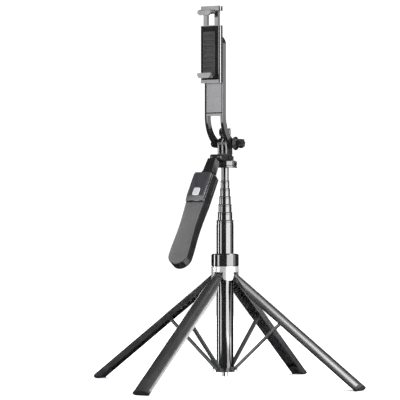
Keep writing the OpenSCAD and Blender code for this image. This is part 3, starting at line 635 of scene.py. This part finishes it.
def add_hinge_knob():
    """Star knob: a flared skirt, a neck and a head of seven soft lobes."""
    low, high = box_mm("hinge_knob")
    centre = Vector((low.x, (low.y + high.y) / 2, (low.z + high.z) / 2)) * MM
    stations = [
        (0.0, 2.6, 0), (0.0, 8.4, 0), (0.35, 8.9, 0), (1.1, 9.0, 0), (1.5, 8.6, 0), (2.2, 6.9, 0),
        (3.1, 5.5, 0), (4.1, 4.6, 0), (5.0, 4.3, 0.1), (5.6, 4.6, 0.3), (6.2, 5.2, 0.55), (7.0, 5.5, 0.8),
        (8.0, 5.55, 0.8), (10.8, 5.5, 0.8), (11.9, 5.3, 0.75), (12.5, 4.9, 0.6), (12.85, 4.2, 0.35),
        (12.9, 3.2, 0.1), (12.7, 2.4, 0), (12.4, 1.4, 0), (12.35, 0.0, 0), (9.4, 0.0, 0), (9.4, 2.55, 0)
    ]
    stand_in("hinge_knob", lobed("hinge_knob", stations, 7, 140), place(*centre) @ turn(90, "Y"))


def add_thumb_ring():
    """Thumb nut with straight knurls between two chamfered rims."""
    low, high = box_mm("thumb_ring")
    height = high.z - low.z
    rim = [(0.0, 3.1, 0), (0.0, 6.9, 0), (0.5, 7.4, 0), (1.1, 7.4, 0), (1.4, 7.1, 0), (1.8, 7.1, 0)]
    knurls = [(2.1, 7.5, 0.32), (2.5, 7.62, 0.36)]
    lower = rim + knurls
    upper = [(height - z, radius, depth) for z, radius, depth in reversed(lower)]
    teeth = 30
    stand_in("thumb_ring", lobed("thumb_ring", lower + upper, teeth, teeth * 8, low.z))


def add_camera_screw():
    """Quarter-inch screw with its real 20-per-inch thread."""
    low, high = box_mm("camera_screw")
    pitch = 1.27
    major = 3.17
    depth = 0.72
    thread_start = box_mm("thumb_ring")[1].z - 1.5
    steps = 48
    rows = int((high.z - thread_start) / pitch * 16)
    loops = [circle(0.01, low.z, steps), circle(3.0, low.z, steps), circle(3.0, thread_start - 0.1, steps)]
    for k in range(rows + 1):
        z = thread_start + (high.z - thread_start) * k / rows
        loop = []
        for i in range(steps):
            a = 2 * math.pi * i / steps
            phase = (z / pitch - i / steps) % 1.0
            tooth = min(1.0, max(0.0, 1.25 - 2.5 * abs(phase - 0.5)))
            r = major - depth * (1 - tooth)
            end = high.z - 0.15 - z
            r = min(r, 2.2 + max(0.0, end))
            loop.append((r * math.cos(a), r * math.sin(a), z))
        loops.append(loop)
    loops.append(circle(0.01, high.z - 0.3, steps))
    stand_in("camera_screw", skin("camera_screw", loops))


# Phone arm and clamp ---------------------------------------------------------------

ARM_HALF = box_mm("fork_arm")[1].x
# Side view, from the hinge: front of the arm's plate, the swivel, and the centre and radius of the arc below
ARM_FACE = -28.0
ARM_SWIVEL_Z = 127.4
ARC_Y = 13.5
ARC_Z = 34.6
ARC_R = 41.5
# Edges of the dark bands across the arm, which are painted shade where its rounded edges turn into shade, and of
# the seam above its window
ARM_SHADE_BANDS = {"left": (-13.78, -11.3), "right": (11.6, 12.3)}
SEAM_Z = (38.3, 39.7)


def add_fork_arm():
    """The arm's outer edges are well rounded, as on a die-cast part."""
    bm, mesh = clean_bmesh("fork_arm", ARM)
    round_edges(bm, 2.6, 6, lambda ends, normals: (
        min(abs(end.x) for end in ends) > ARM_HALF - 0.05 and min(normal.y for normal in normals) < -0.05
    ))
    obj = stand_in("fork_arm", finish_bmesh(bm, mesh, "fork_arm"), ARM)
    bevel(obj, 0.45, 3)


def arm_front_path():
    """Front of the arm in its side view, down the plate and round the arc, with outward normals."""
    path = [(ARM_FACE, ARM_SWIVEL_Z - (ARM_SWIVEL_Z - ARC_Z) * i / 10, -1.0, 0.0) for i in range(10)]
    for i in range(21):
        a = math.radians(60 * i / 20)
        ny = -math.cos(a)
        nz = -math.sin(a)
        path.append((ARC_Y + ARC_R * ny, ARC_Z + ARC_R * nz, ny, nz))
    return path


def add_arm_shade_and_seam():
    """Painted shade: dark bands down both sides of the arm's front, where its rounded edges turn into shade. And
    the seam above its window.
    """
    sunk = -0.4
    proud = 0.12
    for name, (x0, x1) in ARM_SHADE_BANDS.items():
        loops = []
        for y, z, ny, nz in arm_front_path():
            inner = (y + sunk * ny, z + sunk * nz)
            outer = (y + proud * ny, z + proud * nz)
            loops.append([(x0, *inner), (x1, *inner), (x1, *outer), (x0, *outer)])
        # Painted shade: a matt black sheet laid over the rounded edge, where it turns into shade
        add_piece("arm_shade_band_" + name, skin("band", loops), ARM, "arm", M["edge_black"], "black_gloss")
    root = ARM_FACE + 0.2
    face = ARM_FACE - proud
    z0, z1 = SEAM_Z
    seam = fillet([(root, z0, 0), (face, z0, 0.1), (face, z1, 0.1), (root, z1, 0)], 2)
    loops = [[(x, y, z) for y, z in seam] for x in (ARM_SHADE_BANDS["left"][1], ARM_SHADE_BANDS["right"][0])]
    add_piece("arm_seam", skin("seam", loops), ARM, "arm", M["edge_black"], "black_gloss")


# Thickness of the clamp, half width and lower edge of its dark face, and edges of the painted shadow band under
# the lip
CLAMP_T = 10.0
FASCIA_HALF = 12.9
FASCIA_BOTTOM = 400.0
LIP_SHADOW_Z = (395.9, 397.5)


def add_fascia_and_lip_shadow():
    """Matt black face of the clamp's housing, and painted shadow: a dark band across the bracket below it, set
    back under the lip that shades it.
    """
    high = box_mm("clamp_body")[1]
    front = high.y - CLAMP_T
    half = FASCIA_HALF
    # The band is painted shadow: a matt black sheet set back under the lip, where the lip casts its shadow
    for name, z0, z1, face in (("upper", FASCIA_BOTTOM, high.z - 0.9, front), ("band", *LIP_SHADOW_Z, front + 1.0)):
        outline = fillet([(-half, z0, 0.3), (half, z0, 0.3), (half, z1, 0.6), (-half, z1, 0.6)], 4)
        mesh = skin("fascia", [[(x, y, z) for x, z in outline] for y in (face + 0.2, face - 0.15)])
        add_piece("clamp_fascia_" + name, mesh, WORLD, "clamp", M["edge_black"], "handle_black")


def clamp_sides():
    """For both sides of clamp and jaw: body, highest corner, where the side's grooves start, and the side."""
    for node, body in (("clamp_body", "clamp"), ("upper_jaw", "jaw")):
        low, high = box_mm(node)
        bottom = low.z if body == "clamp" else box_mm("upper_pad")[1].z + 2.6
        for name, side in (("right", 1), ("left", -1)):
            yield body, high, bottom, name, side


def add_side_strips():
    """Satin metal strips pressed into the grooves along the clamp's sides."""
    half = 1.25
    for body, high, bottom, name, side in clamp_sides():
        x_out = side * (high.x - 0.25)
        x_in = side * (high.x - 0.95)
        y0 = high.y - CLAMP_T / 2 - half
        y1 = high.y - CLAMP_T / 2 + half
        outline = fillet([(x_in, y0, 0), (x_out, y0, 0.25), (x_out, y1, 0.25), (x_in, y1, 0)])
        ends = [(bottom + 0.35, 0.2), (bottom + 0.55, 0), (high.z - 0.55, 0), (high.z - 0.35, 0.2)]
        loops = []
        for z, inset in ends:
            loops.append([(x - side * inset * (abs(x) > abs(x_in) + 0.1), y, z) for x, y in outline])
        mesh = skin("strip", loops)
        add_piece("%s_strip_%s" % (body, name), mesh, WORLD, body, M["bright_ring"], "bright_ring")


def add_side_trims():
    """Dark trims on both sides of each strip."""
    for body, high, bottom, name, side in clamp_sides():
        x_in = side * (high.x - 0.2)
        x_out = side * (high.x + 0.15)
        for band, y0, y1 in (("front", high.y - 9.2, high.y - 6.7), ("rear", high.y - 3.3, high.y - 0.8)):
            outline = fillet([(x_in, y0, 0), (x_out, y0, 0.12), (x_out, y1, 0.12), (x_in, y1, 0)], 3)
            mesh = skin("trim", [[(x, y, z) for x, y in outline] for z in (bottom + 0.7, high.z - 0.7)])
            trim_name = "%s_trim_%s_%s" % (body, band, name)
            add_piece(trim_name, mesh, WORLD, body, M["edge_black"], "black_gloss")


def add_fin_edges():
    """Bright machined edges round the fronts of the three hinge fins."""
    centre = HINGE / MM
    radius = 7.5
    path = [(6.5, -13.0, 1, 0), (6.5, -8.0, 1, 0)]
    for i in range(16):
        a = math.radians(-30 + 6 * i)
        path.append((radius * math.cos(a), radius * math.sin(a), math.cos(a), math.sin(a)))
    for k, x_mid in enumerate((-6.0, 0.0, 6.0)):
        loops = []
        for depth, half in ((-0.12, 0.95), (0.1, 0.95), (0.2, 0.8)):
            front = []
            for y, z, ny, nz in path:
                front.append((x_mid - half, centre.y - y - depth * ny, centre.z + z + depth * nz))
            rear = [(x_mid + half, y, z) for _, y, z in reversed(front)]
            loops.append(front + rear)
        mesh = skin("fin_edge", loops)
        add_piece("fin_edge_%d" % (k + 1), mesh, WORLD, "head", M["fin_bright"], "steel")


def add_clamp_spring():
    """Tension spring of round wire with closed end turns."""
    low, high = box_mm("clamp_spring")
    centre = (low + high) / 2
    wire = 0.3
    radius = (high.x - low.x) / 2 - wire
    turns = 13
    steps = turns * 24
    loops = []
    for i in range(steps + 1):
        a = 2 * math.pi * turns * i / steps
        z = low.z + wire + (high.z - low.z - 2 * wire) * i / steps
        loop = []
        for j in range(10):
            b = 2 * math.pi * j / 10
            r = radius + wire * math.cos(b)
            loop.append((centre.x + r * math.cos(a), centre.y + r * math.sin(a), z + wire * math.sin(b)))
        loops.append(loop)
    stand_in("clamp_spring", skin("clamp_spring", loops))


# Handle and remote -----------------------------------------------------------------

# Half width of the handle and the remote, and distances from the handle's pin down its length
BODY_HALF = 13.7
REMOTE_HALF = 13.4
PAD_START = 34.8
PAD_END = 77.2
BUTTON_AT = 64.3
SCREW_AT = (46, 146)
HANDLE_LEN = 168.6
GRIP_END = 28.4
# Level of the grip's face, and how fast it slopes back
FACE_Y = -13.0
FACE_SLOPE = 3.0 / 92.4
FACE_SET_BACK = 0.6


def outside_screws(ends):
    return all(math.hypot(end.x, end.z + s) > 3.2 for end in ends for s in SCREW_AT)


def face_y(s):
    """Level of the grip's face, which slopes back towards the end."""
    return FACE_Y + FACE_SLOPE * max(0.0, s - PAD_END)


def add_handle_shells():
    """Glossy shells; the front one is set down behind the grip's gray face."""
    bm, mesh = clean_bmesh("handle_front", HANDLE)
    for vert in bm.verts:
        s = -vert.co.z / MM
        if s > PAD_END - 0.1 and vert.co.y / MM < face_y(s) + 0.1:
            vert.co.y += FACE_SET_BACK * MM
    round_edges(bm, 0.7, 3, lambda ends, normals: (
        min(normal.y for normal in normals) < -0.8 and all(abs(end.x) > 5 or end.z < -150 for end in ends)
    ))
    obj = stand_in("handle_front", finish_bmesh(bm, mesh, "handle_front"), HANDLE, "handle_black")
    bm, mesh = clean_bmesh("handle_back", HANDLE)
    round_edges(bm, 1.6, 5, lambda ends, normals: (
        min(end.y for end in ends) > 2.7 and max(end.z for end in ends) < -11 and outside_screws(ends)
    ))
    obj = stand_in("handle_back", finish_bmesh(bm, mesh, "handle_back"), HANDLE)
    bevel(obj, 0.25, 2)


def grip_half(s):
    """Half width of the grip at a distance from the hinge."""
    t = max(0.0, (s - PAD_END) / (HANDLE_LEN - GRIP_END / 2 - PAD_END))
    return BODY_HALF + 0.5 * t * t - 1.43 * math.sin(math.pi * min(1, t * 1.15))


def grip_loop(inset, y):
    """Outline of the grip's face at an inset, from its straight top to its round end."""
    top = PAD_END + 0.4 + inset
    end_at = HANDLE_LEN - GRIP_END / 2
    radius = GRIP_END / 2 - inset
    side = []
    steps = 26
    for i in range(steps):
        s = top + (end_at - top) * i / steps
        side.append((grip_half(s) - inset, -s))
    for i in range(24):
        a = math.pi / 2 * i / 24
        side.append((radius * math.cos(a), -end_at - radius * math.sin(a)))
    half = [(x, face_y(-z) + y, z) for x, z in side]
    tip = (0, face_y(end_at + radius) + y, -end_at - radius)
    return half + [tip] + [(-x, level, z) for x, level, z in reversed(half)]


def add_grip_face():
    """Gray face of the grip: a raised bead round a gently crowned, fine-grained panel."""
    layers = [
        (0.55, 0.75), (0.55, 0.2), (0.65, -0.05), (0.9, -0.2), (1.25, -0.2), (1.5, -0.05), (1.65, 0.15),
        (1.9, 0.15), (2.3, 0.02), (3.8, -0.1), (6.5, -0.25), (9.0, -0.33), (11.2, -0.36)
    ]
    mesh = skin("grip_face", [grip_loop(inset, y) for inset, y in layers])
    add_piece("grip_face", mesh, HANDLE, "handle", M["handle_gray"], "handle_gray")


def add_remote():
    """Remote with its silver key and its dark sides."""
    rounded_node("remote_case", HANDLE, 0.5, 3)
    add_button()
    add_remote_trims()


def add_remote_trims():
    """Dark sides of the remote, with polished beads along its edges and along the line where it sits down."""
    skirt = fillet([(-12.7, -PAD_START, 1), (-2.8, -PAD_START, 1), (-2.8, -76.6, 1), (-12.7, -76.6, 1)], 4)
    rail = fillet([(-15.0, -36.2, 0.6), (-13.3, -36.2, 0.3), (-13.3, -74.8, 0.2), (-15.0, -70.6, 0.6)], 4)
    for name, side in (("left", -1), ("right", 1)):
        x = side * REMOTE_HALF
        for part, outline in (("skirt", skirt), ("rail", rail)):
            mesh = skin(part, [[(x + side * out, y, z) for y, z in outline] for out in (-0.3, 0.14)])
            part_name = "remote_%s_%s" % (part, name)
            add_piece(part_name, mesh, HANDLE, "remote", M["edge_black"], "remote_black")
        x_edge = x - side * 0.9
        x_line = x + side * 0.02
        edge = [(x_edge, -16.1, -36.6), (x_edge, -16.1, -70.0), (x_edge, -13.2, -76.0)]
        add_bead("remote_edge_" + name, edge, 0.62)
        add_bead("remote_line_" + name, [(x_line, FACE_Y, -35.2), (x_line, FACE_Y, -76.4)], 0.4)
    half = REMOTE_HALF - 1.6
    add_bead("remote_edge_low", [(-half, -13.95, -76.3), (half, -13.95, -76.3)], 0.5)


def add_bead(name, points, radius):
    """Polished bead along an edge of the remote, rounded at both ends."""
    path = [Vector(point) for point in points]
    loops = []
    for k, point in enumerate(path):
        along = (path[min(k + 1, len(path) - 1)] - path[max(k - 1, 0)]).normalized()
        side = along.cross(Vector((0, 1, 0))).normalized()
        up = side.cross(along)
        steps = [(0.0, 1.0)]
        if k == 0:
            steps = [(-1.0, 0.25), (-0.7, 0.7), (0.0, 1.0)]
        if k == len(path) - 1:
            steps = [(0.0, 1.0), (0.7, 0.7), (1.0, 0.25)]
        for shift, scale in steps:
            middle = point + along * radius * shift
            angles = [2 * math.pi * i / 12 for i in range(12)]
            loops.append([middle + (side * math.cos(a) + up * math.sin(a)) * radius * scale for a in angles])
    add_piece(name, skin(name, loops), HANDLE, "remote", M["black_tube"], "black_gloss")


def rounded_square(half_w, half_h, radius, y, z_mid, segments=8):
    """Outline of the key at one level."""
    loop = []
    for corner, (sx, sz) in enumerate(((1, 1), (-1, 1), (-1, -1), (1, -1))):
        for i in range(segments + 1):
            a = math.radians(90 * corner + 90 * i / segments)
            x = sx * (half_w - radius) + radius * math.cos(a)
            z = z_mid + sz * (half_h - radius) + radius * math.sin(a)
            loop.append((x, y, z))
    return loop


def add_button():
    """Silver key: pillowed, with a soft edge."""
    half_w = 4.7
    half_h = 5.75
    layers = [
        (0, -15.7), (0, -17.3), (0.12, -17.58), (0.35, -17.75), (0.7, -17.85), (1.4, -17.9), (2.4, -17.9),
        (3.4, -17.85)
    ]
    loops = []
    for inset, y in layers:
        radius = max(0.6, 2.0 - inset * 0.4)
        loops.append(rounded_square(half_w - inset, half_h - inset, radius, y, -BUTTON_AT))
    stand_in("remote_button", skin("remote_button", loops), HANDLE)


# All pieces ------------------------------------------------------------------------

add_tubes()
add_mouth_ring()
add_collar_cap()
add_leg_yoke()
add_legs()
add_head_cup()
add_hinge_nut()
add_hinge_knob()
add_thumb_ring()
add_camera_screw()
add_fork_arm()
add_side_strips()
add_side_trims()
add_arm_shade_and_seam()
add_fascia_and_lip_shadow()
add_fin_edges()
add_clamp_spring()
add_handle_shells()
add_grip_face()
add_remote()

BUILT = set(TUBES) | {"leg_" + side for side in AZIMUTHS} | {
    "tube_mouth_ring", "collar_cap", "leg_yoke", "head_cup", "hinge_nut", "hinge_knob", "thumb_ring",
    "camera_screw", "fork_arm", "clamp_spring", "handle_front", "handle_back", "remote_case", "remote_button"
}
# Width of the rounded edges of the other nodes, by the start of their names
EDGE = {
    "leg": 0.35, "foot": 0.6, "strut_pin": 0.2, "strut": 0.3, "clamp_body": 0.7, "upper_jaw": 0.7,
    "head_base": 0.6, "mount_body": 0.4, "lower_pad": 0.3, "upper_pad": 0.3,
}


def edge_width(node):
    widths = [width for key, width in EDGE.items() if node.startswith(key)]
    return widths[0] if widths else 0.2


def frame_of(node):
    for side, azimuth in AZIMUTHS.items():
        if node == "strut_" + side:
            return strut_frame(azimuth)
        if node == "strut_pin_" + side:
            return leg_frame(azimuth)
    if node.startswith("handle") or node.startswith("remote"):
        return HANDLE
    return WORLD


# Every node not built above keeps its own shape, with its edges rounded
for node in frame["nodes"]:
    if node not in BUILT:
        rounded_node(node, frame_of(node), edge_width(node))

# Studio -------------------------------------------------------------------------

VIEW_TURN = 31.75
right = Vector((math.cos(math.radians(VIEW_TURN)), math.sin(math.radians(VIEW_TURN)), 0))
back = Vector((math.sin(math.radians(VIEW_TURN)), -math.cos(math.radians(VIEW_TURN)), 0))
CAMERA_AWAY = 2.734
CAMERA_SIDE = -0.03267
CAMERA_HEIGHT = 0.2285
LENS = 188.3
LENS_SHIFT = 0.02325
FLOOR_REACH = 1.5
# Lights above this height point down at it
AIM_TOP = 0.85


def add_camera():
    """Level camera, turned to the right of the object's front and shifted to frame it."""
    data = bpy.data.cameras.new("camera")
    data.sensor_width = 36
    data.lens = LENS
    data.shift_y = LENS_SHIFT
    data.clip_end = 50
    camera = bpy.data.objects.new("camera", data)
    bpy.context.scene.collection.objects.link(camera)
    camera.location = back * CAMERA_AWAY + right * CAMERA_SIDE + Vector((0, 0, CAMERA_HEIGHT))
    camera.rotation_euler = (math.radians(90), 0, math.radians(VIEW_TURN))
    bpy.context.scene.camera = camera


def add_light(name, around, height, distance, width, tall, radiance):
    """A soft box that faces the object, its middle `around` degrees from the camera towards the right."""
    data = bpy.data.lights.new(name, "AREA")
    data.shape = "RECTANGLE"
    data.size = width
    data.size_y = tall
    data.energy = radiance * math.pi * width * tall
    light = bpy.data.objects.new(name, data)
    bpy.context.scene.collection.objects.link(light)
    angle = math.radians(around)
    light.location = (back * math.cos(angle) + right * math.sin(angle)) * distance + Vector((0, 0, height))
    aim = Vector((0, 0, min(height, AIM_TOP)))
    light.rotation_euler = (light.location - aim).to_track_quat("Z", "Y").to_euler()
    light.visible_camera = False
    return light


def add_floor():
    """Plain pale floor, left out of reflections so that the lacquer stays black."""
    mesh = bpy.data.meshes.new("floor")
    corners = ((-1, -1), (1, -1), (1, 1), (-1, 1))
    mesh.from_pydata([(x * FLOOR_REACH, y * FLOOR_REACH, 0) for x, y in corners], [], [(0, 1, 2, 3)])
    floor = bpy.data.objects.new("floor", mesh)
    bpy.context.scene.collection.objects.link(floor)
    white = surface("floor_white", gray(0.94), gray(0.95), (0.6, 0.7), 40, 0.01, mottle=2.0, ior=1.0)
    floor.data.materials.append(white)
    floor.visible_glossy = False


def add_world():
    """Even white surroundings, left out of reflections like the floor."""
    world = bpy.data.worlds.new("studio")
    world.use_nodes = True
    background = world.node_tree.nodes["Background"]
    background.inputs["Color"].default_value = (1, 1, 1, 1)
    background.inputs["Strength"].default_value = 1.15
    world.cycles_visibility.glossy = False
    bpy.context.scene.world = world


add_camera()
add_floor()
add_world()
add_light("key", 44, 0.75, 1.7, 1.9, 1.9, 5.0)
add_light("key_fade", 86, 0.75, 1.7, 0.55, 1.9, 1.3)
add_light("edge_left", -100, 0.75, 1.6, 0.26, 1.9, 8.0)
add_light("strip_left", -58, 0.75, 1.6, 0.42, 1.9, 4.6)
add_light("rear", 180, 0.8, 1.9, 1.0, 1.2, 3.0)
add_light("over_right", 82, 1.5, 0.85, 0.8, 0.7, 5.5)
add_light("low_right", 60, -0.35, 0.5, 0.6, 0.7, 2.5)
add_light("side_high", 116, 0.5, 1.0, 0.4, 0.3, 1.6)
add_light("above", 150, 2.0, 0.8, 1.6, 1.2, 1.6)
bpy.context.scene.view_settings.view_transform = "Standard"
